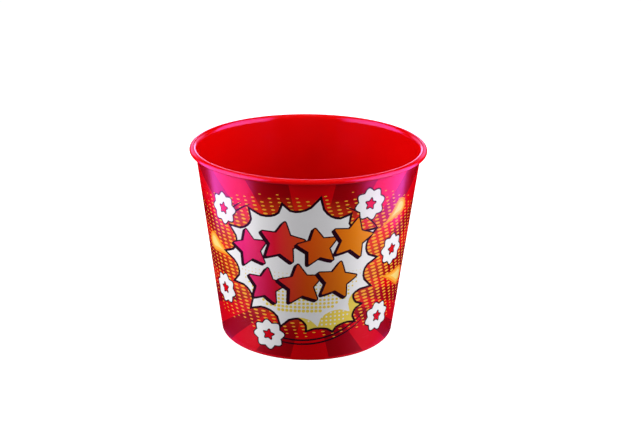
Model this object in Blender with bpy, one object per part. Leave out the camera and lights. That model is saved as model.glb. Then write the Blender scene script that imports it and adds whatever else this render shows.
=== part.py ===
"""An empty popcorn bucket: one thin-walled moulding with a tapered wall, a curled lip and a foot ring.

Units are metres and +Z is up. The origin is the centre of the circle that the foot ring stands on,
and the printed front faces -Y.
"""

import math

import bmesh
import bpy

# Driving dimensions
RIM_DIAMETER = 0.170
HEIGHT = 0.141
WALL = 0.0012

# The cone of the outer wall: its radius on the standing plane, and how much it gains per metre of height
CONE_BASE_RADIUS = 0.0635
CONE_GAIN = 0.1253

# The lip is a curl that opens downwards. Its crest is the highest circle, and its shoulder the widest
LIP_HEIGHT = 0.0034
LIP_SKIN = 0.0012
CREST_INSET = 0.0028
SHOULDER_DROP = 0.0024
INNER_DROP = 0.0045
CURL_END_WIDTH = 0.0018
CURL_END_ROUND = 0.0005
CREST_STEPS = 5
HOLLOW_STEPS = 6
CURL_END_STEPS = 3

# Base: outer corner, foot ring and the panel inside it, which rises a little towards its middle
BASE_CORNER = 0.0018
FOOT_WIDTH = 0.0020
FOOT_CORNER = 0.0006
FOOT_SLOPE = 0.0004
PANEL_RECESS = 0.0016
PANEL_RISE = 0.0004
PANEL_THICKNESS = 0.0013
FLOOR_FILLET = 0.0035
FILLET_STEPS = 5
BASE_CORNER_STEPS = 4
FOOT_CORNER_STEPS = 3

# Round recess under the middle of the panel, with the small stub that the moulding gate leaves
GATE_RECESS_RADIUS = 0.0045
GATE_RECESS_DEPTH = 0.0004
GATE_STUB_RADIUS = 0.0009
GATE_STUB_TIP_RADIUS = 0.0007
GATE_STUB_HEIGHT = 0.0003

SEGMENTS = 80
MERGE_DISTANCE = 0.00001
SHARP_ANGLE = math.radians(35)

PLASTIC_COLOUR = (0.72, 0.002, 0.004, 1.0)
PLASTIC_ROUGHNESS = 0.26
PLASTIC_IOR = 1.49


def clear_scene():
    """Removes whatever the scene holds."""
    for item in list(bpy.data.objects):
        bpy.data.objects.remove(item, do_unlink=True)


def arc(centre, across, up, start_deg, end_deg, steps):
    """Points on an arc in the profile plane, both ends included. across and up are its two radii."""
    points = []
    for i in range(steps + 1):
        turn = math.radians(start_deg + (end_deg - start_deg) * i / steps)
        points.append((centre[0] + across * math.cos(turn), centre[1] + up * math.sin(turn)))
    return points


def outer_radius(height):
    """The outer wall's radius at a height above the standing plane."""
    return CONE_BASE_RADIUS + CONE_GAIN * height


def inner_radius(height):
    """The inner wall's radius, with the wall's thickness measured square to it."""
    return outer_radius(height) - WALL * math.hypot(1.0, CONE_GAIN)


def inside_points():
    """From the middle of the floor, out along it and up into the lip."""
    floor = PANEL_RECESS + PANEL_THICKNESS
    taper = math.degrees(math.atan(CONE_GAIN))
    lean = math.radians(taper)
    fillet_height = floor + FLOOR_FILLET
    fillet_radius = inner_radius(fillet_height) - FLOOR_FILLET / math.cos(lean)
    points = [(0.0, floor + PANEL_RISE)]
    points += arc((fillet_radius, fillet_height), FLOOR_FILLET, FLOOR_FILLET, -90, -taper, FILLET_STEPS)
    return points


def lip_points():
    """Over the lip's crest and shoulder, round the curl's end and through the hollow behind it."""
    rim = RIM_DIAMETER / 2
    crest = rim - CREST_INSET
    inner_foot = HEIGHT - INNER_DROP
    shoulder = HEIGHT - SHOULDER_DROP
    end_drop = LIP_HEIGHT - SHOULDER_DROP
    end_inner = rim - CURL_END_WIDTH
    hollow_wall = outer_radius(shoulder)
    hollow_middle = (hollow_wall + end_inner) / 2
    hollow_half = (end_inner - hollow_wall) / 2

    points = arc((crest, inner_foot), crest - inner_radius(inner_foot), INNER_DROP, 180, 90, CREST_STEPS)
    points += arc((crest, shoulder), CREST_INSET, SHOULDER_DROP, 90, 0, CREST_STEPS)[1:]
    points += arc((end_inner + CURL_END_ROUND, shoulder), CURL_END_WIDTH - CURL_END_ROUND, end_drop,
                  0, -90, CURL_END_STEPS)[1:]
    points += arc((end_inner + CURL_END_ROUND, HEIGHT - LIP_HEIGHT + CURL_END_ROUND), CURL_END_ROUND,
                  CURL_END_ROUND, -90, -180, CURL_END_STEPS)[1:]
    points += arc((hollow_middle, shoulder), hollow_half, SHOULDER_DROP - LIP_SKIN, 0, 180, HOLLOW_STEPS)
    return points


def foot_points():
    """Down the outer wall, round the base corner and across the foot ring."""
    taper = math.degrees(math.atan(CONE_GAIN))
    lean = math.radians(taper)
    corner_radius = outer_radius(BASE_CORNER) - BASE_CORNER / math.cos(lean)
    foot_inner = corner_radius - FOOT_WIDTH
    points = arc((corner_radius, BASE_CORNER), BASE_CORNER, BASE_CORNER, -taper, -90, BASE_CORNER_STEPS)
    points += arc((foot_inner, FOOT_CORNER), FOOT_CORNER, FOOT_CORNER, -90, -180, FOOT_CORNER_STEPS)
    points.append((foot_inner - FOOT_CORNER - FOOT_SLOPE, PANEL_RECESS))
    return points


def gate_points():
    """The gate's recess and stub, in to the axis."""
    panel = PANEL_RECESS + PANEL_RISE
    ceiling = panel + GATE_RECESS_DEPTH
    return [
        (GATE_RECESS_RADIUS, panel),
        (GATE_RECESS_RADIUS - GATE_RECESS_DEPTH, ceiling),
        (GATE_STUB_RADIUS, ceiling),
        (GATE_STUB_TIP_RADIUS, ceiling - GATE_STUB_HEIGHT),
        (0.0, ceiling - GATE_STUB_HEIGHT),
    ]


def profile():
    """The half section, from the middle of the floor to the middle of the underside."""
    return inside_points() + lip_points() + foot_points() + gate_points()


def profile_mesh(name, points):
    """A mesh of one open chain of edges in the XZ plane."""
    mesh = bpy.data.meshes.new(name)
    chain = bmesh.new()
    vertices = [chain.verts.new((radius, 0.0, height)) for radius, height in points]
    for lower, upper in zip(vertices, vertices[1:]):
        chain.edges.new((lower, upper))
    chain.to_mesh(mesh)
    chain.free()
    return mesh


def plastic():
    """Glossy red polypropylene."""
    material = bpy.data.materials.new("red_plastic")
    material.use_nodes = True
    shader = material.node_tree.nodes["Principled BSDF"]
    shader.inputs["Base Color"].default_value = PLASTIC_COLOUR
    shader.inputs["Roughness"].default_value = PLASTIC_ROUGHNESS
    shader.inputs["Metallic"].default_value = 0.0
    shader.inputs["IOR"].default_value = PLASTIC_IOR
    return material


def make_bucket():
    """The bucket, turned from its half section."""
    bucket = bpy.data.objects.new("bucket", profile_mesh("bucket", profile()))
    bpy.context.scene.collection.objects.link(bucket)
    bucket.data.materials.append(plastic())

    turning = bucket.modifiers.new("turning", "SCREW")
    turning.axis = "Z"
    turning.angle = math.tau
    turning.steps = SEGMENTS
    turning.render_steps = SEGMENTS
    turning.use_merge_vertices = True
    turning.merge_threshold = MERGE_DISTANCE
    turning.use_smooth_shade = True

    graph = bpy.context.evaluated_depsgraph_get()
    turned = bpy.data.meshes.new_from_object(bucket.evaluated_get(graph))
    bucket.modifiers.remove(turning)
    bucket.data = turned
    turned.name = "bucket"
    turned.shade_smooth()
    turned.set_sharp_from_angle(angle=SHARP_ANGLE)
    return bucket


def main():
    clear_scene()
    make_bucket()


main()
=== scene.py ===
"""The popcorn bucket as it looks: a glossy red moulding with a printed label fused round its wall.

The label's artwork is drawn flat, as outlines that are laid over each other, then cut into one mosaic
and wrapped on the wall's cone. Distances are in metres.
"""

import math
import random

import bmesh
import bpy
from bpy.props import FloatProperty, FloatVectorProperty, IntProperty, PointerProperty
from mathutils import Matrix, Quaternion, Vector
from mathutils.geometry import delaunay_2d_cdt


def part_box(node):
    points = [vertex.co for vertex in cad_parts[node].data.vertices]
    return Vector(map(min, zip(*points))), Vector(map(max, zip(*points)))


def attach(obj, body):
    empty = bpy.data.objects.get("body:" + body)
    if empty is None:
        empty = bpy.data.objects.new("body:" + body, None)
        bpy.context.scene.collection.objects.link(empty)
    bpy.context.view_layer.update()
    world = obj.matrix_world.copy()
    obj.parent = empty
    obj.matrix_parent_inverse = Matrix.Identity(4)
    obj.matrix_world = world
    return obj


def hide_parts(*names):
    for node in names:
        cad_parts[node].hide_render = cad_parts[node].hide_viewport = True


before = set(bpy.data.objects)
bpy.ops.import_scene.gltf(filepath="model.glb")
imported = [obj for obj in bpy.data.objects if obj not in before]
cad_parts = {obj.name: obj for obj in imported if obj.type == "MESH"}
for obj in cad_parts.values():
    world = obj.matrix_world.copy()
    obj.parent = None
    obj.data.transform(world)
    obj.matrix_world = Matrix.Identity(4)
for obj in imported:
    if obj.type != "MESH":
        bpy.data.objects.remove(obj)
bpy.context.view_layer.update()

bl_info = {
    "name": "Popcorn bucket",
    "version": (1, 0, 0),
    "blender": (4, 5, 0),
    "location": "View3D > Sidebar > Bucket",
    "description": "Makes the moulded bucket, its printed label and a studio round them",
    "category": "Object",
}

BUCKET_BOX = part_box("bucket")

IMAGE_WIDTH = 641
SENSOR_WIDTH = 36.0
PLASTIC_IOR = 1.49


def length(name, description, default):
    """A size in metres that the user can change."""
    return FloatProperty(
        name=name, description=description, default=default, min=0.0, unit="LENGTH", precision=5
    )


def colour(name, description, default):
    """A linear colour that the user can change."""
    return FloatVectorProperty(
        name=name, description=description, default=default, size=3, min=0.0, max=1.0, subtype="COLOR"
    )


def angle(name, description, degrees):
    """An angle that the user can change, given here in degrees."""
    return FloatProperty(name=name, description=description, default=math.radians(degrees), subtype="ANGLE")


def amount(name, description, default):
    """A plain number that the user can change."""
    return FloatProperty(name=name, description=description, default=default, min=0.0, precision=4)


def fraction(name, description, default):
    """A share from 0 to 1 that the user can change."""
    return FloatProperty(
        name=name, description=description, default=default, min=0.0, max=1.0, precision=3, subtype="FACTOR"
    )


def power(name, description, default):
    """A lamp's power in watts that the user can change."""
    return FloatProperty(name=name, description=description, default=default, min=0.0, unit="POWER")


def pixels(name, description, default):
    """A distance in pixels of the image that the user can change."""
    return FloatProperty(name=name, description=description, default=default, min=0.0, subtype="PIXEL")


class BucketSizes(bpy.types.PropertyGroup):
    """Sizes of the moulding."""

    rim_radius: length("Rim radius", "Outer radius of the lip", BUCKET_BOX[1].x)
    height: length("Height", "From the standing plane to the crest", BUCKET_BOX[1].z)
    wall: length("Wall", "Thickness of the wall", 0.0012)
    cone_base: length("Cone base", "Outer wall's radius on the standing plane", 0.0635)
    cone_gain: amount("Cone gain", "Radius gained per metre of height", 0.1253)
    lip_height: length("Lip height", "From the crest to the curl's end", 0.0034)
    lip_skin: length("Lip skin", "Thickness of the curl at its crest", 0.0012)
    crest_inset: length("Crest inset", "From the rim's edge in to the crest", 0.0028)
    shoulder_drop: length("Shoulder drop", "From the crest down to the widest circle", 0.0024)
    inner_drop: length("Inner drop", "From the crest down to the inner wall", 0.0045)
    curl_end: length("Curl end", "Width of the curl's end", 0.0018)
    curl_round: length("Curl rounding", "Rounding of the curl's inner edge", 0.0005)
    base_corner: length("Base corner", "Radius of the corner between wall and foot ring", 0.0018)
    foot_width: length("Foot width", "Width of the flat foot ring", 0.0020)
    foot_corner: length("Foot corner", "Rounding of the foot ring's inner edge", 0.0006)
    foot_slope: length("Foot slope", "Run of the slope from the ring to the panel", 0.0004)
    panel_recess: length("Panel recess", "Height of the panel's edge", 0.0016)
    panel_rise: length("Panel rise", "How much higher the panel's middle is", 0.0004)
    panel_thickness: length("Panel thickness", "Thickness of the bottom panel", 0.0013)
    floor_fillet: length("Floor fillet", "Radius of the corner between floor and inner wall", 0.0035)
    gate_recess: length("Gate recess", "Radius of the recess under the panel", 0.0045)
    gate_depth: length("Gate depth", "Depth of the recess under the panel", 0.0004)
    gate_stub: length("Gate stub", "Radius of the stub that the gate leaves", 0.0009)
    gate_tip: length("Gate tip", "Radius of the gate stub's tip", 0.0007)
    gate_height: length("Gate height", "Height of the gate stub", 0.0003)
    segments: IntProperty(name="Segments", description="Sides round the bucket", default=288, min=24)


class LabelSizes(bpy.types.PropertyGroup):
    """Sizes of the printed label and of what is drawn on it."""

    bottom: length("Bottom", "Height of the label's lower edge", 0.0024)
    top: length("Top", "Height of the label's upper edge", 0.1366)
    film: length("Film", "Thickness of the printed film", 0.00012)
    proud: length("Proud", "How far the film stands out of the wall", 0.00004)
    seam: length("Seam", "Gap where the label's two ends meet", 0.0004)
    turn: angle("Turn", "How far right of the front the label's middle is", 2.0)
    columns: IntProperty(name="Columns", description="Strips in each half of the label", default=90, min=12)

    sun_height: length("Sun height", "Height that the rays spread from", 0.0645)

    dot_width: length("Dot width", "Width of the largest halftone dots", 0.0047)
    dot_height: length("Dot height", "Height of the largest halftone dots", 0.00175)
    dot_step: length("Dot step", "From one halftone dot to the next in its row", 0.0063)
    row_step: length("Row step", "From one row of halftone dots to the next", 0.00275)
    row_slope: amount("Row slope", "How steeply the rows of dots rise", 0.08)
    column_slope: amount("Column slope", "How steeply the columns of dots lean left", 0.31)
    field_middle: length("Field middle", "Height of the halftone field's middle", 0.0740)
    field_width: length("Field width", "Half width of the halftone field", 0.1030)
    field_height: length("Field height", "Half height of the halftone field", 0.0530)

    badge_shift: length("Badge shift", "How far left of the middle the white burst is", 0.0077)
    badge_middle: length("Badge middle", "Height of the white burst's middle", 0.0765)
    badge_width: length("Badge width", "Half width of the white burst", 0.0570)
    badge_height: length("Badge height", "Half height of the white burst", 0.0485)
    lower_right: length("Lower burst right", "How far right the yellow burst is of the white", 0.0190)
    lower_down: length("Lower burst down", "How far the yellow burst is below the white", 0.0345)
    lower_width: length("Lower burst width", "Half width of the yellow burst", 0.0260)
    lower_height: length("Lower burst height", "Half height of the yellow burst", 0.0185)
    pale_step: length("Pale step", "Between the white dots on the yellow burst", 0.0031)
    pale_radius: length("Pale radius", "Radius of the white dots on the yellow burst", 0.0007)
    shade_down: length("Shade down", "From the badge's middle to its lowest shading", 0.0415)
    shade_step: length("Shade step", "Between the dots of the badge's shading", 0.0029)
    shade_radius: length("Shade radius", "Radius of the shading's lowest dots", 0.0015)
    shade_loss: length("Shade loss", "How much smaller each next row of shading is", 0.000095)
    outline: length("Outline", "Width of the dark line round the large shapes", 0.0017)
    thin_outline: length("Thin outline", "Width of the dark line round the small shapes", 0.0010)
    star_radius: length("Star radius", "Outer radius of the larger stars", 0.0162)
    star_round: length("Star rounding", "What rounding cuts from a star's points", 0.0016)
    side_left: length("Side left", "How far left each layer of a star's side is", 0.0008)
    side_down: length("Side down", "How far down each layer of a star's side is", 0.00065)
    spark_radius: length("Spark radius", "Outer radius of the white sparks", 0.0130)
    spark_round: length("Spark rounding", "What rounding cuts from a spark's points", 0.0030)
    core_round: length("Core rounding", "What rounding cuts from a spark's red star", 0.0005)
    stroke: length("Stroke", "Width of the thin dark arcs", 0.0014)


class InkColours(bpy.types.PropertyGroup):
    """Colours of the printing inks."""

    bright_ray: colour("Bright ray", "Bright red of the rays", (0.69, 0.0006, 0.003))
    dark_ray: colour("Dark ray", "Dark red of the rays", (0.34, 0.0004, 0.002))
    glow: colour("Glow", "Orange of the rays beside the badge", (0.80, 0.075, 0.008))
    halftone: colour("Halftone", "Amber of the halftone dots", (0.90, 0.40, 0.030))
    outline: colour("Outline", "Near black of the outlines", (0.020, 0.003, 0.008))
    white: colour("White", "White of the badge", (0.83, 0.82, 0.84))
    yellow: colour("Yellow", "Yellow of the badge's shading", (0.82, 0.62, 0.09))
    pink: colour("Pink", "Stars at the badge's left edge", (0.92, 0.012, 0.20))
    crimson: colour("Crimson", "Stars left of the badge's middle", (0.76, 0.008, 0.030))
    vermilion: colour("Vermilion", "Stars in the badge's middle", (0.80, 0.090, 0.006))
    orange: colour("Orange", "Stars at the badge's right edge", (0.88, 0.26, 0.004))
    amber: colour("Amber", "Body of the comets", (0.90, 0.28, 0.015))
    honey: colour("Honey", "Between the comets' body and heart", (0.90, 0.45, 0.06))
    straw: colour("Straw", "Heart of the comets", (0.90, 0.66, 0.20))


class PlasticLook(bpy.types.PropertyGroup):
    """Finish of the moulding."""

    red: colour("Red", "Colour of the plastic", (0.72, 0.0008, 0.0010))
    scuff: colour("Scuff", "Colour of the plastic where it is rubbed", (0.70, 0.06, 0.07))
    gloss_tint: colour("Gloss tint", "Tint of what the plastic reflects", (0.55, 1.0, 1.0))
    film_tint: colour("Film tint", "Tint of what the red inks reflect", (0.85, 0.10, 0.40))
    pale_gloss: fraction("Pale gloss", "Strength of the gloss on the other inks", 0.12)
    roughness: fraction("Roughness", "Roughness of the plastic", 0.16)
    ink_roughness: fraction("Ink roughness", "Roughness of the printed film", 0.22)
    crest_band: length("Crest band", "How far down the lip's crest is rubbed", 0.0008)
    crest_wear: fraction("Crest wear", "How much the crest is rubbed, where the foot is 1", 0.15)
    foot_band: length("Foot band", "How far up the foot ring is rubbed", 0.0006)


class StudioLook(bpy.types.PropertyGroup):
    """Camera, floor and lights."""

    camera_distance: length("Camera distance", "From the camera to the bucket's middle", 0.9139)
    camera_elevation: angle("Camera elevation", "Height of the camera above the horizon", 20.655)
    camera_roll: angle("Camera roll", "Turn of the camera about its own axis", 0.52)
    focal_pixels: pixels("Focal length", "Focal length in pixels of the image", 1241.2)
    shift_right: amount("Shift right", "Camera shift to the right, in image widths", 0.0202)
    shift_up: amount("Shift up", "Camera shift up, in image widths", 0.0345)
    floor: colour("Floor", "Colour of the floor", (0.90, 0.90, 0.90))
    floor_glow: amount("Floor glow", "Light that the floor gives of its own", 0.75)
    floor_radius: length("Floor radius", "Radius of the floor", 2.0)
    sky: amount("Sky", "Brightness of the room as a light", 0.15)
    backdrop: amount("Backdrop", "Brightness of the room to the camera", 1.05)

    side_angle: angle("Side angle", "From the camera round to each side softbox", 76.0)
    side_distance: length("Side distance", "From the bucket to the side softboxes and cards", 0.80)
    side_width: length("Side width", "Width of each side softbox", 0.60)
    side_height: length("Side height", "Height of each side softbox", 1.30)
    side_power: power("Side power", "Power of each side softbox", 16.3)
    top_distance: length("Top distance", "Height of the overhead softbox", 1.25)
    top_width: length("Top width", "Width of the overhead softbox", 1.10)
    top_power: power("Top power", "Power of the overhead softbox", 9.5)

    card_colour: colour("Card colour", "Colour of the side cards and the table", (0.70, 0.14, 0.82))
    card_glow: amount("Card glow", "Brightness of the side cards", 8.0)
    card_top: length("Card top", "Height of the side cards", 1.30)
    card_depth: length("Card depth", "How far the side cards go below the floor", 0.75)
    card_behind: length("Card behind", "How far the side cards go behind the bucket", 0.42)
    card_before: length("Card before", "How far the left card goes in front of the bucket", 0.92)
    card_trim: length("Card trim", "How much less far the right card goes", 0.08)
    low_card_before: length("Low card before", "How far the side cards go in front, below the floor", 0.46)
    back_colour: colour("Back card colour", "Colour of the card behind the bucket", (0.90, 0.45, 0.95))
    back_glow: amount("Back card glow", "Brightness of the card behind the bucket", 5.4)
    back_distance: length("Back card distance", "From the bucket to the card behind it", 1.50)
    back_width: length("Back card width", "Half width of the card behind the bucket", 0.36)
    back_bottom: length("Back card bottom", "Height of the back card's lower edge", 0.04)
    back_top: length("Back card top", "Height of the back card's upper edge", 0.47)
    wing_colour: colour("Wing colour", "Colour of the cards beside the back card", (0.90, 0.22, 0.62))
    wing_glow: amount("Wing glow", "Brightness of the cards beside the back card", 2.5)
    wing_reach: length("Wing reach", "From the middle to the wing cards' outer edges", 1.10)
    wing_turn: length("Wing turn", "How much nearer the wing cards' outer edges are", 0.20)
    wing_bottom: length("Wing bottom", "Height of the wing cards' lower edge", 0.28)
    wing_top: length("Wing top", "Height of the wing cards' upper edge", 0.80)
    table_glow: amount("Table glow", "Brightness of the table's front corners", 0.38)
    ring_glow: amount("Ring glow", "How much brighter the table is round the base", 2.6)
    table_radius: length("Table radius", "Radius of the dark table that the gloss reflects", 0.24)


def look(name):
    """One of this add-on's property groups."""
    return getattr(bpy.context.scene, name)


# Node helpers


def add_node(tree, kind, **settings):
    """A new node with some of its settings changed."""
    node = tree.nodes.new(kind)
    for key, value in settings.items():
        setattr(node, key, value)
    return node


def plug(tree, socket, value):
    """Links a socket to another one, or gives it a plain value."""
    if isinstance(value, bpy.types.NodeSocket):
        tree.links.new(value, socket)
    else:
        socket.default_value = value


def feed(tree, node, **inputs):
    """Plugs a node's inputs by name. An underscore in a name stands for a space."""
    for key, value in inputs.items():
        plug(tree, node.inputs[key.replace("_", " ")], value)
    return node


def own_place(tree):
    """Where the shaded point lies, in its object's own space."""
    return tree.nodes.new("ShaderNodeTexCoord").outputs["Object"]


def own_axes(tree):
    """That place's X, Y and Z."""
    return feed(tree, tree.nodes.new("ShaderNodeSeparateXYZ"), Vector=own_place(tree)).outputs


def noise(tree, place, scale, detail=2.0, roughness=0.5):
    """The value of a noise texture."""
    node = add_node(tree, "ShaderNodeTexNoise")
    feed(tree, node, Vector=place, Scale=scale, Detail=detail, Roughness=roughness)
    return node.outputs["Fac"]


def mapped(tree, value, low, high, new_low, new_high):
    """A value moved from one range to another, and held inside it."""
    node = add_node(tree, "ShaderNodeMapRange", clamp=True)
    feed(tree, node, Value=value, From_Min=low, From_Max=high, To_Min=new_low, To_Max=new_high)
    return node.outputs["Result"]


def calculated(tree, operation, first, second=0.0):
    """A sum, product or other function of one or two values."""
    node = add_node(tree, "ShaderNodeMath", operation=operation)
    plug(tree, node.inputs[0], first)
    plug(tree, node.inputs[1], second)
    return node.outputs[0]


def product(tree, first, second):
    """Two values multiplied."""
    return calculated(tree, "MULTIPLY", first, second)


def total(tree, first, second):
    """Two values added."""
    return calculated(tree, "ADD", first, second)


def mixed(tree, factor, first, second):
    """Two colours mixed by a factor. The node's colour sockets go by number, as its names repeat."""
    node = add_node(tree, "ShaderNodeMix", data_type="RGBA")
    for index, value in ((0, factor), (6, first), (7, second)):
        plug(tree, node.inputs[index], value)
    return node.outputs[2]


# Depth of the surface's unevenness at full strength
BUMP_DEPTH = 0.0002


def bumped(tree, height, strength):
    """The surface's normal, tilted by a height."""
    node = feed(tree, add_node(tree, "ShaderNodeBump"), Height=height, Strength=strength, Distance=BUMP_DEPTH)
    return node.outputs["Normal"]


def opaque(rgb):
    """A colour with full alpha."""
    return (rgb[0], rgb[1], rgb[2], 1.0)


def new_group(name, inputs, outputs):
    """An empty shader node group, its input node and its output node."""
    group = bpy.data.node_groups.new(name, "ShaderNodeTree")
    for label, kind, default in inputs:
        socket = group.interface.new_socket(label, in_out="INPUT", socket_type=kind)
        socket.default_value = default
    for label, kind in outputs:
        group.interface.new_socket(label, in_out="OUTPUT", socket_type=kind)
    return group, group.nodes.new("NodeGroupInput").outputs, group.nodes.new("NodeGroupOutput")


# How fine each kind of unevenness is, in waves per metre
SPECK_SCALE = 5200.0
CLOUD_SCALE = 38.0
SCRATCH_SCALE = 210.0
SCRATCHED_SCALE = 60.0
PEEL_SCALE = 900.0
RUBBED_SCALE = 320.0


def print_grain_group():
    """The slight unevenness of a printed or moulded colour: fine specks over broad, faint clouds."""
    group, given, result = new_group(
        "print_grain",
        (
            ("Color", "NodeSocketColor", (0.5, 0.5, 0.5, 1.0)),
            ("Speck", "NodeSocketFloat", 0.05),
            ("Cloud", "NodeSocketFloat", 0.04),
            ("Roughness", "NodeSocketFloat", 0.25),
        ),
        (("Color", "NodeSocketColor"), ("Roughness", "NodeSocketFloat")),
    )
    place = own_place(group)
    speck = noise(group, place, SPECK_SCALE, 1.0)
    cloud = noise(group, place, CLOUD_SCALE, 3.0)
    darker = product(group, mapped(group, speck, 0.3, 0.7, 0.0, 1.0), given["Speck"])
    clouded = product(group, mapped(group, cloud, 0.3, 0.7, 0.0, 1.0), given["Cloud"])
    loss = total(group, darker, clouded)
    toned = mixed(group, loss, given["Color"], (0.0, 0.0, 0.0, 1.0))
    rough = total(group, given["Roughness"], product(group, clouded, 0.8))
    feed(group, result, Color=toned, Roughness=rough)
    return group


def scuff_group():
    """Fine curved scratches, thin and sparse, as a mask and as a height."""
    group, given, result = new_group(
        "fine_scuffs",
        (("Amount", "NodeSocketFloat", 0.5),),
        (("Mask", "NodeSocketFloat"), ("Height", "NodeSocketFloat")),
    )
    place = own_place(group)
    stretch = feed(group, add_node(group, "ShaderNodeMapping"), Vector=place, Scale=(1.0, 1.0, 7.0))
    lines = noise(group, stretch.outputs["Vector"], SCRATCH_SCALE)
    patches = mapped(group, noise(group, place, SCRATCHED_SCALE), 0.52, 0.68, 0.0, 1.0)
    near_line = calculated(group, "ABSOLUTE", calculated(group, "SUBTRACT", lines, 0.5))
    thin = mapped(group, near_line, 0.0, 0.012, 1.0, 0.0)
    mask = product(group, product(group, thin, patches), given["Amount"])
    peel = noise(group, place, PEEL_SCALE)
    height = calculated(group, "SUBTRACT", product(group, peel, 0.5), mask)
    feed(group, result, Mask=mask, Height=height)
    return group


def shared_group(name, maker):
    """A node group, made the first time that it is asked for."""
    return bpy.data.node_groups.get(name) or maker()


def use_group(tree, name, maker, **inputs):
    """A shared node group placed in a material, with its own values."""
    node = add_node(tree, "ShaderNodeGroup", node_tree=shared_group(name, maker))
    return feed(tree, node, **inputs).outputs


def new_material(name):
    """A material with a Principled shader, its tree and that shader."""
    material = bpy.data.materials.new(name)
    material.use_nodes = True
    return material, material.node_tree, material.node_tree.nodes["Principled BSDF"]


def plastic_material():
    """Glossy red plastic, rubbed a little along the lip's crest and under the foot ring."""
    style = look("plastic_look")
    sizes = look("bucket_sizes")
    material, tree, shader = new_material("red_plastic")
    grain = use_group(
        tree, "print_grain", print_grain_group, Color=opaque(style.red), Speck=0.03, Cloud=0.05,
        Roughness=style.roughness,
    )
    scuffs = use_group(tree, "fine_scuffs", scuff_group, Amount=0.5)
    level = own_axes(tree)["Z"]
    crest = mapped(tree, level, sizes.height - style.crest_band, sizes.height, 0.0, style.crest_wear)
    foot = mapped(tree, level, 0.0, style.foot_band, 1.0, 0.0)
    rubbed = calculated(tree, "MAXIMUM", crest, foot)
    patches = mapped(tree, noise(tree, own_place(tree), RUBBED_SCALE, 4.0), 0.5, 0.75, 0.0, 0.3)
    worn = product(tree, rubbed, patches)
    wear = calculated(tree, "MAXIMUM", worn, product(tree, scuffs["Mask"], 0.35))
    feed(
        tree, shader, Base_Color=mixed(tree, wear, grain["Color"], opaque(style.scuff)),
        Roughness=total(tree, grain["Roughness"], product(tree, wear, 0.25)),
        Normal=bumped(tree, scuffs["Height"], 0.06), IOR=PLASTIC_IOR, Specular_Tint=opaque(style.gloss_tint),
    )
    return material


def label_turn(tree, axes, sizes):
    """The angle from the middle of the label's half, for the front and the back alike."""
    turn = calculated(tree, "ARCTANGENT", calculated(tree, "DIVIDE", axes["X"], axes["Y"]))
    return calculated(tree, "SUBTRACT", product(tree, turn, -1.0), sizes.turn)


# The orange glow round the badge, an ellipse: how many of its half widths make a radian, its half height
# in the badge's own, the shares of the ellipse between which it fades, and its strength
GLOW_PER_RADIAN = 1.18
GLOW_HEIGHT = 0.86
GLOW_FADE = (0.85, 1.25)
GLOW_SHARE = 0.55


def badge_glow(tree, sizes):
    """How near a place is to the badge: most beside it, less over and under it, and nothing far away."""
    axes = own_axes(tree)
    badge_turn = -sizes.badge_shift / outer_radius(look("bucket_sizes"), sizes.badge_middle)
    beside = calculated(tree, "SUBTRACT", label_turn(tree, axes, sizes), badge_turn)
    across = calculated(tree, "POWER", product(tree, beside, GLOW_PER_RADIAN), 2.0)
    above = calculated(tree, "SUBTRACT", axes["Z"], sizes.badge_middle)
    up = calculated(tree, "POWER", calculated(tree, "DIVIDE", above, sizes.badge_height * GLOW_HEIGHT), 2.0)
    far = calculated(tree, "SQRT", total(tree, across, up))
    return mapped(tree, far, *GLOW_FADE, GLOW_SHARE, 0.0)


# The angles at which the stars' colours start and end, the heights between which they grow deeper, and by
# how much
STAR_TURNS = (-0.66, 0.48)
STAR_HEIGHTS = (0.110, 0.045)
DEEPEST = 0.30


def star_gradient(tree, inks):
    """The stars' colour: pink on the left, through red, to orange on the right, and deeper lower down."""
    axes = own_axes(tree)
    across = label_turn(tree, axes, look("label_sizes"))
    ramp = add_node(tree, "ShaderNodeValToRGB")
    stops = ramp.color_ramp.elements
    stops[0].position, stops[0].color = 0.0, opaque(inks.pink)
    stops[1].position, stops[1].color = 1.0, opaque(inks.orange)
    for position, rgb in ((0.28, inks.crimson), (0.55, inks.vermilion)):
        stop = stops.new(position)
        stop.color = opaque(rgb)
    feed(tree, ramp, Fac=mapped(tree, across, *STAR_TURNS, 0.0, 1.0))
    deep = mapped(tree, axes["Z"], *STAR_HEIGHTS, 0.0, DEEPEST)
    return mixed(tree, deep, ramp.outputs["Color"], (0.0, 0.0, 0.0, 1.0))


def film_material(name, pick_colour, **gloss):
    """The printed film where it has one ink. pick_colour makes the ink's colour in the material's tree."""
    material, tree, shader = new_material(name)
    grain = use_group(
        tree, "print_grain", print_grain_group, Color=pick_colour(tree), Speck=0.06, Cloud=0.05,
        Roughness=look("plastic_look").ink_roughness,
    )
    scuffs = use_group(tree, "fine_scuffs", scuff_group, Amount=0.35)
    feed(
        tree, shader, Base_Color=grain["Color"],
        Roughness=total(tree, grain["Roughness"], product(tree, scuffs["Mask"], 0.3)),
        Normal=bumped(tree, scuffs["Height"], 0.05), IOR=PLASTIC_IOR, **gloss,
    )
    return material


def ray_material(name, rgb):
    """A red ink that takes on some orange beside the badge, and tints what it reflects."""
    glow = opaque(look("ink_colours").glow)

    def pick_colour(tree):
        return mixed(tree, badge_glow(tree, look("label_sizes")), opaque(rgb), glow)

    return film_material(name, pick_colour, Specular_Tint=opaque(look("plastic_look").film_tint))


def pale_material(name, rgb):
    """An even ink with little gloss."""
    return film_material(name, lambda tree: opaque(rgb), Specular_IOR_Level=look("plastic_look").pale_gloss)


def star_material(name):
    """The stars' ink, which changes colour across the badge."""

    def pick_colour(tree):
        return star_gradient(tree, look("ink_colours"))

    return film_material(name, pick_colour, Specular_IOR_Level=look("plastic_look").pale_gloss)


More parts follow.
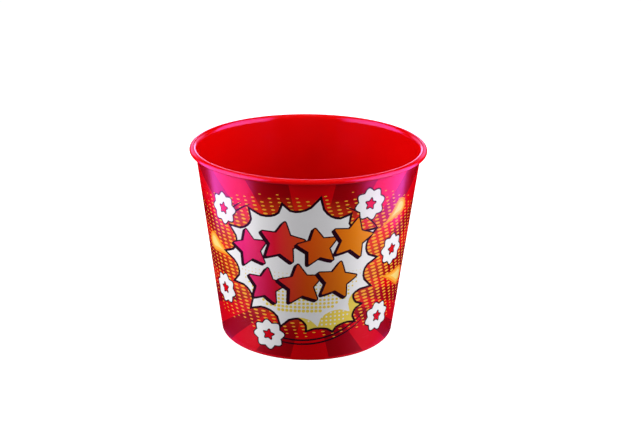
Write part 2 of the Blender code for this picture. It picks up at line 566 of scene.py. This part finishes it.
def ink_materials():
    """The material of every ink on the label, by the ink's name."""
    inks = look("ink_colours")
    materials = {}
    for name in ("bright_ray", "dark_ray"):
        materials[name] = ray_material("ink_" + name, getattr(inks, name))
    for name in ("halftone", "outline", "white", "yellow", "amber", "honey", "straw"):
        materials[name] = pale_material("ink_" + name, getattr(inks, name))
    materials["star"] = star_material("ink_star")
    return materials


# The moulding


# How finely each part of the half section is divided
FLOOR_STEPS = 6
FILLET_STEPS = 12
WALL_STEPS = 8
INNER_CREST_STEPS = 12
OUTER_CREST_STEPS = 16
CURL_END_STEPS = 10
CURL_ROUND_STEPS = 6
HOLLOW_STEPS = 14
BASE_CORNER_STEPS = 10
FOOT_CORNER_STEPS = 6

MERGE_DISTANCE = 1e-6
WELD_DISTANCE = 2e-7
SHARP_ANGLE = math.radians(35)


def arc(centre, across, up, start_deg, end_deg, steps):
    """Points on an arc, both ends included. across and up are its two radii."""
    points = []
    for i in range(steps + 1):
        turn = math.radians(start_deg + (end_deg - start_deg) * i / steps)
        points.append((centre[0] + across * math.cos(turn), centre[1] + up * math.sin(turn)))
    return points


def outer_radius(sizes, height):
    """The outer wall's radius at a height above the standing plane."""
    return sizes.cone_base + sizes.cone_gain * height


def inner_radius(sizes, height):
    """The inner wall's radius, with the wall's thickness measured square to it."""
    return outer_radius(sizes, height) - sizes.wall * math.hypot(1.0, sizes.cone_gain)


def wall_points(low, high, radius, sizes):
    """Points up a straight wall between two heights, without its ends."""
    heights = [low + (high - low) * i / WALL_STEPS for i in range(1, WALL_STEPS)]
    return [(radius(sizes, height), height) for height in heights]


def domed(share, edge, level, rise):
    """A point of a slightly domed disc, at a share of the way out to its edge."""
    return (edge * share, level + rise * (1 - share * share))


def inside_points(sizes):
    """From the middle of the floor, out along it and up the inner wall."""
    floor = sizes.panel_recess + sizes.panel_thickness
    taper = math.degrees(math.atan(sizes.cone_gain))
    centre_height = floor + sizes.floor_fillet
    lean = math.cos(math.radians(taper))
    centre_radius = inner_radius(sizes, centre_height) - sizes.floor_fillet / lean
    points = [(0.0, floor + sizes.panel_rise)]
    for i in range(1, FLOOR_STEPS):
        points.append(domed(i / FLOOR_STEPS, centre_radius, floor, sizes.panel_rise))
    fillet = sizes.floor_fillet
    points += arc((centre_radius, centre_height), fillet, fillet, -90, -taper, FILLET_STEPS)
    return points + wall_points(points[-1][1], sizes.height - sizes.inner_drop, inner_radius, sizes)


def lip_points(sizes):
    """Over the lip's crest and shoulder, round the curl's end and through the hollow behind it."""
    crest = sizes.rim_radius - sizes.crest_inset
    inner_foot = sizes.height - sizes.inner_drop
    shoulder = sizes.height - sizes.shoulder_drop
    end_bottom = sizes.height - sizes.lip_height
    end_inner = sizes.rim_radius - sizes.curl_end
    hollow_wall = outer_radius(sizes, shoulder)
    rounding = sizes.curl_round
    points = arc(
        (crest, inner_foot), crest - inner_radius(sizes, inner_foot), sizes.inner_drop, 180, 90,
        INNER_CREST_STEPS,
    )
    points += arc((crest, shoulder), sizes.crest_inset, sizes.shoulder_drop, 90, 0, OUTER_CREST_STEPS)[1:]
    end_centre = end_inner + rounding
    end_drop = shoulder - end_bottom
    points += arc((end_centre, shoulder), sizes.curl_end - rounding, end_drop, 0, -90, CURL_END_STEPS)[1:]
    points += arc((end_centre, end_bottom + rounding), rounding, rounding, -90, -180, CURL_ROUND_STEPS)[1:]
    points += arc(
        ((hollow_wall + end_inner) / 2, shoulder), (end_inner - hollow_wall) / 2,
        sizes.shoulder_drop - sizes.lip_skin, 0, 180, HOLLOW_STEPS,
    )
    return points


def foot_points(sizes):
    """Down the outer wall, round the base corner, across the foot ring and in along the panel."""
    taper = math.degrees(math.atan(sizes.cone_gain))
    lean = math.cos(math.radians(taper))
    corner = sizes.base_corner
    corner_radius = outer_radius(sizes, corner) - corner / lean
    foot_inner = corner_radius - sizes.foot_width
    foot_corner = sizes.foot_corner
    points = wall_points(sizes.height - sizes.shoulder_drop, corner, outer_radius, sizes)
    points += arc((corner_radius, corner), corner, corner, -taper, -90, BASE_CORNER_STEPS)
    points += arc((foot_inner, foot_corner), foot_corner, foot_corner, -90, -180, FOOT_CORNER_STEPS)
    panel_edge = foot_inner - foot_corner - sizes.foot_slope
    for i in range(FLOOR_STEPS):
        points.append(domed(1 - i / FLOOR_STEPS, panel_edge, sizes.panel_recess, sizes.panel_rise))
    return points


def gate_points(sizes):
    """The gate's recess and stub, in to the axis."""
    panel = sizes.panel_recess + sizes.panel_rise
    ceiling = panel + sizes.gate_depth
    return [
        (sizes.gate_recess, panel),
        (sizes.gate_recess - sizes.gate_depth, ceiling),
        (sizes.gate_stub, ceiling),
        (sizes.gate_tip, ceiling - sizes.gate_height),
        (0.0, ceiling - sizes.gate_height),
    ]


def mesh_of(shape, name):
    """A mesh made of a bmesh, which is freed."""
    mesh = bpy.data.meshes.new(name)
    shape.to_mesh(mesh)
    shape.free()
    return mesh


def turned_mesh(name, points, segments):
    """A mesh turned about +Z from one chain of points whose ends lie on the axis."""
    turned = bmesh.new()
    chain = [turned.verts.new((radius, 0.0, height)) for radius, height in points]
    edges = [turned.edges.new(pair) for pair in zip(chain, chain[1:])]
    bmesh.ops.spin(
        turned, geom=chain + edges, cent=(0, 0, 0), axis=(0, 0, 1), dvec=(0, 0, 0), angle=math.tau,
        steps=segments, use_merge=True,
    )
    bmesh.ops.remove_doubles(turned, verts=turned.verts[:], dist=MERGE_DISTANCE)
    bmesh.ops.recalc_face_normals(turned, faces=turned.faces[:])
    mesh = mesh_of(turned, name)
    mesh.shade_smooth()
    mesh.set_sharp_from_angle(angle=SHARP_ANGLE)
    return mesh


def new_piece(name, mesh):
    """An object of that mesh, which rides with the bucket and takes the place of its plain solid."""
    piece = bpy.data.objects.new(name, mesh)
    bpy.context.scene.collection.objects.link(piece)
    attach(piece, "root")
    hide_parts("bucket")
    return piece


# The label's artwork. A shape is an ink's name and an outline on the flat label, where the first
# number runs to the right from the middle of the front and the second is the height


# Keeps a grown outline's points from shooting out: the least cosine that a sharp corner counts with
SHARPEST = 0.35


def ellipse(centre, across, up, steps):
    """Outline of an ellipse."""
    return arc(centre, across, up, 0, 360 - 360 / steps, steps - 1)


def on_ellipse(centre, across, up, turn):
    """The point of an ellipse at an angle."""
    return (centre[0] + across * math.cos(turn), centre[1] + up * math.sin(turn))


def corners(outline):
    """Every point of an outline between its two neighbours."""
    count = len(outline)
    return [[Vector(outline[(i + k) % count]) for k in (-1, 0, 1)] for i in range(count)]


def grown(outline, margin):
    """An outline moved outwards all round by a margin. It has to run anticlockwise."""
    result = []
    for before, here, after in corners(outline):
        first = (here - before).normalized()
        second = (after - here).normalized()
        out = Vector((first.y + second.y, -first.x - second.x)).normalized()
        spread = max(SHARPEST, out.dot(Vector((first.y, -first.x))))
        result.append(tuple(here + out * (margin / spread)))
    return result


def moved(outline, right, up):
    """An outline moved over the label."""
    return [(x + right, y + up) for x, y in outline]


def star(centre, outer, inner, points, turn_deg=0.0):
    """Outline of a straight-sided star, with one point up before it is turned."""
    outline = []
    for i in range(2 * points):
        radius = inner if i % 2 else outer
        outline.append(on_ellipse(centre, radius, radius, math.radians(90 + turn_deg + 180 * i / points)))
    return outline


def rounded(outline, radius, steps=4):
    """An outline with its outward corners rounded off."""
    result = []
    for before, here, after in corners(outline):
        back = (before - here).normalized()
        ahead = (after - here).normalized()
        if back.cross(ahead) > 0:
            result.append(tuple(here))
            continue
        start, end = here + back * radius, here + ahead * radius
        for k in range(steps + 1):
            share = k / steps
            result.append(tuple(start.lerp(here, share).lerp(here.lerp(end, share), share)))
    return result


# How much farther or less far a burst's points and the halftone's edge reach, by chance, and how a
# burst's sides are divided and curved
UNEVEN = (-0.07, 0.05)
SIDE_STEPS = 6
SIDE_POWER = 0.55


def burst(centre, across, up, points, depth, draw):
    """Outline of a many-pointed burst whose sides curve inwards between its uneven points."""
    outline = []
    reach = [1.0 + draw.uniform(*UNEVEN) for _ in range(points)]
    for i in range(points):
        for k in range(SIDE_STEPS):
            share = k / SIDE_STEPS
            tip = reach[i] * (1 - share) + reach[(i + 1) % points] * share
            radius = tip * (1 - depth * (1 - (2 * share - 1) ** 2) ** SIDE_POWER)
            turn = math.tau * (i + share) / points
            outline.append(on_ellipse(centre, across * radius, up * radius, turn))
    return outline


# Keeps an arc's two ends from growing too thin
LEAST_SWELL = 0.04


def stroke_arc(centre, across, up, start_deg, end_deg, width, steps=24):
    """Outline of a thin arc that tapers to both ends."""
    outer, inner = [], []
    for i in range(steps + 1):
        share = i / steps
        half = width / 2 * math.sqrt(max(LEAST_SWELL, math.sin(math.pi * share)))
        turn = math.radians(start_deg + (end_deg - start_deg) * share)
        outer.append(on_ellipse(centre, across + half, up + half, turn))
        inner.append(on_ellipse(centre, across - half, up - half, turn))
    return outer + inner[::-1]


# Sides of a comet's head, how far it goes on each side of its nose, where its tail starts, in shares of the
# head's radius, and how the tail narrows
HEAD_STEPS = 18
HEAD_DEG = 118
NECK_BACK = 0.47
NECK_HALF = 0.88
TAIL_POWER = 1.3


def teardrop(centre, radius, tail, turn_deg):
    """Outline of a round head with a tail that narrows to a point, towards -X before it is turned."""
    neck = -radius * NECK_BACK
    side = []
    for share in (0.25, 0.5, 0.75):
        half = radius * NECK_HALF * (1 - share) ** TAIL_POWER
        side.append(Vector((neck - (tail + neck) * share, half)))
    head = arc((0.0, 0.0), radius, radius, -HEAD_DEG, HEAD_DEG, HEAD_STEPS)
    outline = [Vector(point) for point in head]
    outline += side + [Vector((-tail, 0.0))] + [Vector((point.x, -point.y)) for point in reversed(side)]
    turned = Matrix.Rotation(math.radians(turn_deg), 2)
    return [tuple(Vector(centre) + turned @ point) for point in outline]


# The shares of the white burst that hide the halftone behind it and that its own shading reaches, and the
# share of the yellow burst that its white dots reach
HIDDEN_SHARE = 0.74
SHADED_SHARE = 0.79
PALE_SHARE = 0.745


def badge_centre(sizes):
    """The middle of the white burst."""
    return Vector((-sizes.badge_shift, sizes.badge_middle))


def away_from(centre, point, across, up):
    """How far a point is from a centre: 1 on the ellipse with those two radii."""
    return math.hypot((point.x - centre.x) / across, (point.y - centre.y) / up)


def on_badge(sizes, point, share):
    """Whether a point lies on the white burst, shrunk to a share of its size."""
    return away_from(badge_centre(sizes), point, sizes.badge_width, sizes.badge_height) < share


# The halftone's size at its edge, as a share of its full size, how fast it grows inwards from there, how
# much chance changes it, and how many rows and columns lie on each side of its middle
EDGE_DOT = 0.46
DOT_GAIN = 1.15
DOT_CHANCE = 0.05
MOST_ROWS = 24
MOST_COLUMNS = 20

# Sides of the halftone's dots and of the badge's smaller ones
DOT_STEPS = 10
SMALL_DOT_STEPS = 8


def halftone_shapes(sizes, draw):
    """Wide amber dots on a slanted lattice, largest round the badge and fading out to a ragged edge."""
    shapes = []
    along = Vector((sizes.dot_step, sizes.row_slope * sizes.dot_step))
    down = Vector((sizes.column_slope * sizes.row_step, -sizes.row_step))
    middle = Vector((0.0, sizes.field_middle))
    rows, columns = range(-MOST_ROWS, MOST_ROWS + 1), range(-MOST_COLUMNS, MOST_COLUMNS + 1)
    for away in [along * column + down * row for row in rows for column in columns]:
        covered = on_badge(sizes, middle + away, HIDDEN_SHARE)
        reach = (abs(away.x / sizes.field_width) ** 3 + abs(away.y / sizes.field_height) ** 3) ** (1 / 3)
        if covered or reach + draw.uniform(*UNEVEN) > 1.0:
            continue
        half = min(1.0, EDGE_DOT + DOT_GAIN * (1.0 - reach) + draw.uniform(-DOT_CHANCE, DOT_CHANCE)) / 2
        dot = ellipse(middle + away, sizes.dot_width * half, sizes.dot_height * half, DOT_STEPS)
        shapes.append(("halftone", dot))
    return shapes


def dots_on(centre, step, radius, rows, columns, inside):
    """Round dots on a square lattice, wherever they are inside a shape. Their radius depends on the row."""
    shapes = []
    for row in rows:
        for column in columns:
            place = centre + Vector((step * column, step * row))
            if inside(place):
                shapes.append(ellipse(place, radius(row), radius(row), SMALL_DOT_STEPS))
    return shapes


def badge_shapes(sizes, draw):
    """A white burst over a smaller yellow one, with yellow halftone rising from its lower edge."""
    centre = badge_centre(sizes)
    lower_centre = centre + Vector((sizes.lower_right, -sizes.lower_down))
    white = burst(centre, sizes.badge_width, sizes.badge_height, 14, 0.17, draw)
    yellow = burst(lower_centre, sizes.lower_width, sizes.lower_height, 9, 0.20, draw)
    shapes = [
        ("outline", grown(white, sizes.outline)),
        ("outline", grown(yellow, sizes.outline)),
        ("yellow", yellow),
    ]
    pale = dots_on(
        lower_centre, sizes.pale_step, lambda row: sizes.pale_radius, range(-4, 2), range(-5, 6),
        lambda place: away_from(lower_centre, place, sizes.lower_width, sizes.lower_height) < PALE_SHARE,
    )
    shapes += [("white", outline) for outline in pale]
    shapes.append(("white", white))
    shade = dots_on(
        centre - Vector((0.0, sizes.shade_down)), sizes.shade_step,
        lambda row: sizes.shade_radius - sizes.shade_loss * row, range(13), range(-18, 19),
        lambda place: on_badge(sizes, place, SHADED_SHARE),
    )
    return shapes + [("yellow", outline) for outline in shade]


def star_shapes(sizes):
    """Two rows of bold stars with a dark side on their lower left, like thick cut-out letters."""
    centre = badge_centre(sizes)
    places = (
        (-0.0360, 0.0085, 0.93, 14), (-0.0125, 0.0165, 1.02, -8),
        (0.0125, 0.0140, 0.92, 10), (0.0370, 0.0185, 1.00, -14),
        (-0.0240, -0.0185, 0.92, -6), (0.0010, -0.0150, 1.02, 8), (0.0260, -0.0125, 0.94, -10),
    )
    shapes = []
    for right, up, share, turn in places:
        radius = sizes.star_radius * share
        plain = rounded(star(centre + Vector((right, up)), radius, radius / 2, 5, turn), sizes.star_round)
        border = grown(plain, sizes.thin_outline)
        for step in (2, 1, 0):
            shapes.append(("outline", moved(border, -sizes.side_left * step, -sizes.side_down * step)))
        shapes.append(("star", plain))
    return shapes


# A spark's valleys, its red star's points and valleys, all in shares of its radius, and how much thinner
# the red star's dark line is
SPARK_INNER = 0.72
CORE_OUTER = 0.33
CORE_INNER = 0.16
CORE_LINE = 0.8


def spark_shapes(sizes):
    """White eight-pointed sparks with a small red star in the middle, round the badge."""
    places = (
        (-0.0680, 0.1100, 4), (-0.0715, 0.0450, -9), (-0.0300, 0.0190, 7),
        (0.0540, 0.0270, 12), (0.0660, 0.0780, -5), (0.0420, 0.1190, 9),
    )
    shapes = []
    for right, height, turn in places:
        centre = (right, height)
        radius = sizes.spark_radius
        body = rounded(star(centre, radius, radius * SPARK_INNER, 8, turn), sizes.spark_round)
        core = star(centre, radius * CORE_OUTER, radius * CORE_INNER, 5, -turn)
        core = rounded(core, sizes.core_round)
        shapes += [
            ("outline", grown(body, sizes.thin_outline)),
            ("white", body),
            ("outline", grown(core, sizes.thin_outline * CORE_LINE)),
            ("bright_ray", core),
        ]
    return shapes


# How far below the white burst's middle the arcs' common middle is
SWEEP_DROP = 0.0020


def swoosh_shapes(sizes):
    """Pairs of thin dark arcs that sweep round the badge."""
    centre = badge_centre(sizes) - Vector((0.0, SWEEP_DROP))
    sweeps = (
        (0.0665, 0.0525, 122, 152), (0.0700, 0.0560, 128, 147),
        (0.0660, 0.0575, 236, 322), (0.0695, 0.0607, 246, 316),
        (0.0670, 0.0550, 190, 222), (0.0650, 0.0510, 28, 62),
    )
    return [
        ("outline", stroke_arc(centre, across, up, start, end, sizes.stroke))
        for across, up, start, end in sweeps
    ]


def comet_shapes():
    """Amber comets that fly out to both sides, with a straw-coloured heart."""
    places = (
        (0.0800, 0.0520, 0.0075, 0.0260, -16),
        (-0.0840, 0.0790, 0.0075, 0.0250, 166),
        (0.0730, 0.1100, 0.0065, 0.0230, 30),
    )
    shapes = []
    for right, height, radius, tail, turn in places:
        for ink, width, reach in (("amber", 1.0, 1.0), ("honey", 0.80, 0.78), ("straw", 0.52, 0.50)):
            shapes.append((ink, teardrop((right, height), radius * width, tail * reach, turn)))
    return shapes


def artwork(sizes):
    """Every shape on one half of the label, in the order in which they are laid down."""
    draw = random.Random(11)
    shapes = halftone_shapes(sizes, draw)
    shapes += swoosh_shapes(sizes)
    shapes += comet_shapes()
    shapes += badge_shapes(sizes, draw)
    shapes += spark_shapes(sizes)
    shapes += star_shapes(sizes)
    return shapes


RAY_EDGES = (12.4, 33.3, 47.6, 57.0, 66.5, 75.5, 84.5)


def ray_angles():
    """The angles of the rays' edges, clockwise from straight up, in degrees."""
    half = list(RAY_EDGES) + [180 - edge for edge in reversed(RAY_EDGES)]
    return half + [360 - edge for edge in reversed(half)]


def ray_ink(right, up):
    """The ink of the ray that passes through a place, counted from the rays' centre."""
    turn = math.degrees(math.atan2(right, up)) % 360
    passed = sum(1 for edge in ray_angles() if edge < turn)
    return "bright_ray" if passed % 2 == 0 else "dark_ray"


def ray_lines(sizes, label):
    """Lines from the rays' centre to the edges of one half of the label."""
    lines = []
    centre = Vector((0.0, label.sun_height))
    for edge in ray_angles():
        way = Vector((math.sin(math.radians(edge)), math.cos(math.radians(edge))))
        side = math.copysign(math.pi / 2, way.x)
        # How far along the line a quarter of the wall's girth lies
        quarter = side * outer_radius(sizes, centre.y) / (way.x - side * sizes.cone_gain * way.y)
        end = ((label.top if way.y > 0 else label.bottom) - centre.y) / way.y
        if 0 < quarter < end:
            end = quarter
        lines.append((centre, centre + way * end))
    return lines


def upright(sizes, label, turn):
    """A straight line up the cone, at an angle from the middle of the label's half."""
    return tuple(Vector((turn * outer_radius(sizes, height), height)) for height in (label.bottom, label.top))


def seam_turn(sizes, label):
    """The angle that the seam takes up."""
    return label.seam / outer_radius(sizes, label.sun_height)


def border_lines(sizes, label):
    """The lines that divide one half of the label into strips, those that bound it, and one at the seam."""
    turns = [math.pi * (i / label.columns - 0.5) for i in range(label.columns + 1)]
    uprights = [upright(sizes, label, turn) for turn in turns]
    lower, upper = zip(uprights[0], uprights[-1])
    seam = upright(sizes, label, math.pi / 2 - seam_turn(sizes, label))
    return uprights + [lower, upper, seam]


# How near two points of the artwork have to be to count as one
CUT_TOLERANCE = 1e-8


def half_mosaic(sizes, label):
    """One half of the label, laid flat: its points, and its triangles with the ink of each."""
    shapes = artwork(label)
    points, edges, faces = [], [], []
    for _, outline in shapes:
        faces.append(list(range(len(points), len(points) + len(outline))))
        points += [Vector(point) for point in outline]
    for line in border_lines(sizes, label) + ray_lines(sizes, label):
        edges.append((len(points), len(points) + 1))
        points += line
    flat, _, triangles, _, _, owners = delaunay_2d_cdt(points, edges, faces, 0, CUT_TOLERANCE, True)

    pieces = []
    for triangle, owner in zip(triangles, owners):
        middle = sum((flat[i] for i in triangle), Vector((0.0, 0.0))) / len(triangle)
        turn = middle.x / outer_radius(sizes, middle.y)
        if abs(turn) < math.pi / 2 and label.bottom < middle.y < label.top:
            ink = shapes[max(owner)][0] if owner else ray_ink(middle.x, middle.y - label.sun_height)
            pieces.append((triangle, turn, ink))
    return flat, pieces


def wrapped(sizes, point, facing, lift):
    """A flat point wrapped on the wall, with the middle of its half facing that way."""
    turn = point.x / outer_radius(sizes, point.y) + facing
    radius = outer_radius(sizes, point.y) + lift
    return Vector((radius * math.sin(turn), -radius * math.cos(turn), point.y))


def cone_normal(sizes, place, outwards):
    """The wall's own normal at a place, or its opposite."""
    normal = Vector((place.x, place.y, 0.0)).normalized()
    normal.z = -sizes.cone_gain
    return normal.normalized() * (1 if outwards else -1)


def film_normals(mesh, sizes, label):
    """A normal for each point of the film, which faces in on its inner side."""
    middle = label.proud - label.film / 2
    normals = []
    for vertex in mesh.vertices:
        radius = math.hypot(vertex.co.x, vertex.co.y)
        normals.append(cone_normal(sizes, vertex.co, radius > outer_radius(sizes, vertex.co.z) + middle))
    return normals


def label_mesh(name, sizes, label, ink_names):
    """The whole label: the same artwork on its front and back halves, as one closed, thin sleeve."""
    flat, pieces = half_mosaic(sizes, label)
    front_end = math.pi / 2 - seam_turn(sizes, label)
    film = bmesh.new()
    for facing, end in ((label.turn, front_end), (label.turn + math.pi, math.pi)):
        used = {}
        for triangle, turn, ink in pieces:
            if turn > end:
                continue
            for i in triangle:
                if i not in used:
                    used[i] = film.verts.new(wrapped(sizes, flat[i], facing, label.proud))
            face = film.faces.new([used[i] for i in triangle])
            face.material_index = ink_names.index(ink)
            face.smooth = True
    bmesh.ops.remove_doubles(film, verts=film.verts[:], dist=WELD_DISTANCE)
    bmesh.ops.solidify(film, geom=film.faces[:], thickness=label.film)
    mesh = mesh_of(film, name)
    mesh.normals_split_custom_set_from_vertices(film_normals(mesh, sizes, label))
    return mesh


class BUCKET_OT_shell(bpy.types.Operator):
    """Makes the moulded bucket"""

    bl_idname = "bucket.shell"
    bl_label = "Moulded bucket"

    def execute(self, context):
        sizes = look("bucket_sizes")
        points = inside_points(sizes) + lip_points(sizes) + foot_points(sizes) + gate_points(sizes)
        mesh = turned_mesh("bucket_shell", points, sizes.segments)
        mesh.materials.append(plastic_material())
        new_piece("bucket_shell", mesh)
        return {"FINISHED"}


class BUCKET_OT_label(bpy.types.Operator):
    """Makes the printed label that is fused round the wall"""

    bl_idname = "bucket.label"
    bl_label = "Printed label"

    def execute(self, context):
        inks = ink_materials()
        mesh = label_mesh("printed_label", look("bucket_sizes"), look("label_sizes"), list(inks))
        for material in inks.values():
            mesh.materials.append(material)
        new_piece("printed_label", mesh)
        return {"FINISHED"}


def softbox(name, place, target, width, height, power):
    """A soft light at a place, aimed at a target. It doesn't show in the gloss."""
    light = bpy.data.lights.new(name, "AREA")
    light.shape = "RECTANGLE"
    light.size = width
    light.size_y = height
    light.energy = power
    lamp = bpy.data.objects.new(name, light)
    lamp.location = place
    lamp.rotation_euler = (Vector(target) - Vector(place)).to_track_quat("-Z", "Y").to_euler()
    lamp.visible_glossy = False
    bpy.context.scene.collection.objects.link(lamp)


def disc_mesh(name, radius, height):
    """A flat disc at a height."""
    disc = bmesh.new()
    bmesh.ops.create_circle(disc, cap_ends=True, segments=96, radius=radius)
    bmesh.ops.translate(disc, verts=disc.verts[:], vec=(0.0, 0.0, height))
    return mesh_of(disc, name)


def make_floor(style):
    """A wide pale floor."""
    mesh = disc_mesh("floor", style.floor_radius, 0.0)
    material, tree, shader = new_material("floor")
    grain = use_group(
        tree, "print_grain", print_grain_group, Color=opaque(style.floor), Speck=0.01, Cloud=0.01,
        Roughness=0.8,
    )
    feed(
        tree, shader, Base_Color=grain["Color"], Roughness=grain["Roughness"], Specular_IOR_Level=0.0,
        Emission_Color=(1.0, 1.0, 1.0, 1.0), Emission_Strength=style.floor_glow,
    )
    material.cycles.emission_sampling = "NONE"
    mesh.materials.append(material)
    floor = bpy.data.objects.new("floor", mesh)
    bpy.context.scene.collection.objects.link(floor)
    floor.visible_glossy = False
    floor.visible_diffuse = False


def reflected_only(name, mesh, rgb, glow):
    """A studio surface that shows in glossy reflections alone. It casts no light and no shadow."""
    material, tree, shader = new_material(name)
    feed(
        tree, shader, Base_Color=(0.0, 0.0, 0.0, 1.0), Specular_IOR_Level=0.0, Emission_Color=opaque(rgb),
        Emission_Strength=glow,
    )
    material.cycles.emission_sampling = "NONE"
    mesh.materials.append(material)
    surface = bpy.data.objects.new(name, mesh)
    bpy.context.scene.collection.objects.link(surface)
    surface.visible_camera = False
    surface.visible_diffuse = False
    surface.visible_shadow = False
    return surface


# How far below the floor the table is
TABLE_DEPTH = 0.001

# Where the table's glow changes, in metres: to the side, towards the back, and outwards from the base
CORNER_FADE = (0.010, 0.060)
FRONT_FADE = (-0.035, -0.010)
RING_INNER_FADE = (0.0013, 0.0019)
RING_OUTER_FADE = (0.0039, 0.0047)
BEHIND_SHARE = 0.12


def table_brightness(tree, style, base_radius):
    """Dark in front and behind, brighter at the front corners and brightest close round the base."""
    axes = own_axes(tree)
    radius = feed(tree, add_node(tree, "ShaderNodeVectorMath", operation="LENGTH"), Vector=own_place(tree))
    away = calculated(tree, "SUBTRACT", radius.outputs["Value"], base_radius)
    beside = mapped(tree, calculated(tree, "ABSOLUTE", axes["X"]), *CORNER_FADE, 0.0, style.table_glow)
    before = mapped(tree, axes["Y"], *FRONT_FADE, 1.0, BEHIND_SHARE)
    rise = mapped(tree, away, *RING_INNER_FADE, 0.0, style.ring_glow)
    fall = mapped(tree, away, *RING_OUTER_FADE, style.ring_glow, 1.0)
    corner = product(tree, beside, before)
    return product(tree, corner, calculated(tree, "MINIMUM", rise, fall))


def make_table(style, base_radius):
    """The dark round table just under the floor, seen in the lower wall's gloss."""
    mesh = disc_mesh("table", style.table_radius, -TABLE_DEPTH)
    table = reflected_only("table", mesh, style.card_colour, 1.0)
    tree = table.data.materials[0].node_tree
    feed(tree, tree.nodes["Principled BSDF"], Emission_Strength=table_brightness(tree, style, base_radius))


def make_card(name, lower_corners, bottom, top, rgb, glow):
    """A bright upright card between two corners, given by right and back, seen in the gloss."""
    (x1, y1), (x2, y2) = lower_corners
    mesh = bpy.data.meshes.new(name)
    mesh.from_pydata([(x1, y1, bottom), (x2, y2, bottom), (x2, y2, top), (x1, y1, top)], [], [(0, 1, 2, 3)])
    reflected_only(name, mesh, rgb, glow)


def make_side(style, name, side, middle):
    """The softbox and the cards on one side. side is -1 for the left and 1 for the right."""
    right = side * style.side_distance * math.sin(style.side_angle)
    front = -style.side_distance * math.cos(style.side_angle)
    place = (right, front, middle.z)
    softbox("softbox_" + name, place, middle, style.side_width, style.side_height, style.side_power)
    edge = side * style.side_distance
    before = style.card_before - (style.card_trim if side > 0 else 0.0)
    upper = ((edge, -before), (edge, style.card_behind))
    lower = ((edge, -style.low_card_before), (edge, style.card_behind))
    make_card("upper_card_" + name, upper, 0.0, style.card_top, style.card_colour, style.card_glow)
    make_card("lower_card_" + name, lower, -style.card_depth, 0.0, style.card_colour, style.card_glow)
    inner, outer = side * style.back_width, side * style.wing_reach
    wing = ((inner, style.back_distance), (outer, style.back_distance - style.wing_turn))
    bottom, top = style.wing_bottom, style.wing_top
    make_card("wing_card_" + name, wing, bottom, top, style.wing_colour, style.wing_glow)


def make_back_card(style):
    """The low card behind the bucket, whose reflection is the thin light line along the near lip."""
    ends = ((-style.back_width, style.back_distance), (style.back_width, style.back_distance))
    make_card("back_card", ends, style.back_bottom, style.back_top, style.back_colour, style.back_glow)


def make_room(style):
    """A world that is white behind the bucket, dim as a light and black in the gloss."""
    world = bpy.data.worlds.new("room")
    world.use_nodes = True
    tree = world.node_tree
    background = tree.nodes["Background"]
    path = tree.nodes.new("ShaderNodeLightPath").outputs
    background.inputs["Color"].default_value = (1.0, 1.0, 1.0, 1.0)
    ambient = product(tree, path["Is Diffuse Ray"], style.sky)
    seen = product(tree, path["Is Camera Ray"], style.backdrop)
    tree.links.new(total(tree, ambient, seen), background.inputs["Strength"])
    bpy.context.scene.world = world


def make_camera(style, middle):
    """The camera at the photographed angle, aimed at the middle of the bucket's axis."""
    data = bpy.data.cameras.new("camera")
    data.sensor_fit = "HORIZONTAL"
    data.sensor_width = SENSOR_WIDTH
    data.lens = SENSOR_WIDTH * style.focal_pixels / IMAGE_WIDTH
    data.shift_x = style.shift_right
    data.shift_y = style.shift_up
    camera = bpy.data.objects.new("camera", data)
    back = Vector((0.0, -math.cos(style.camera_elevation), math.sin(style.camera_elevation)))
    camera.location = middle + back * style.camera_distance
    camera.rotation_mode = "QUATERNION"
    camera.rotation_quaternion = (-back).to_track_quat("-Z", "Y") @ Quaternion((0, 0, 1), style.camera_roll)
    bpy.context.scene.collection.objects.link(camera)
    bpy.context.scene.camera = camera


class BUCKET_OT_stage(bpy.types.Operator):
    """Makes the floor, the room, the softboxes and the camera"""

    bl_idname = "bucket.stage"
    bl_label = "Studio"

    def execute(self, context):
        style = look("studio_look")
        sizes = look("bucket_sizes")
        middle = Vector((0.0, 0.0, sizes.height / 2))
        make_camera(style, middle)
        make_floor(style)
        make_room(style)
        make_table(style, sizes.cone_base)
        make_side(style, "left", -1, middle)
        make_side(style, "right", 1, middle)
        make_back_card(style)
        above = (0.0, 0.0, style.top_distance)
        softbox("softbox_top", above, middle, style.top_width, style.top_width, style.top_power)
        context.scene.view_settings.view_transform = "Standard"
        return {"FINISHED"}


class BUCKET_PT_panel(bpy.types.Panel):
    """Lists what this add-on makes."""

    bl_label = "Popcorn bucket"
    bl_idname = "BUCKET_PT_panel"
    bl_space_type = "VIEW_3D"
    bl_region_type = "UI"
    bl_category = "Bucket"

    def draw(self, context):
        for operator in OPERATORS:
            self.layout.operator(operator.bl_idname)


GROUPS = {
    "bucket_sizes": BucketSizes,
    "label_sizes": LabelSizes,
    "ink_colours": InkColours,
    "plastic_look": PlasticLook,
    "studio_look": StudioLook,
}
OPERATORS = (BUCKET_OT_shell, BUCKET_OT_label, BUCKET_OT_stage)


def register():
    for name, group in GROUPS.items():
        bpy.utils.register_class(group)
        setattr(bpy.types.Scene, name, PointerProperty(type=group))
    for item in (*OPERATORS, BUCKET_PT_panel):
        bpy.utils.register_class(item)


def unregister():
    for item in (BUCKET_PT_panel, *reversed(OPERATORS)):
        bpy.utils.unregister_class(item)
    for name, group in reversed(GROUPS.items()):
        delattr(bpy.types.Scene, name)
        bpy.utils.unregister_class(group)


def main():
    """Makes everything."""
    register()
    bpy.ops.bucket.shell()
    bpy.ops.bucket.label()
    bpy.ops.bucket.stage()


if __name__ == "__main__":
    main()
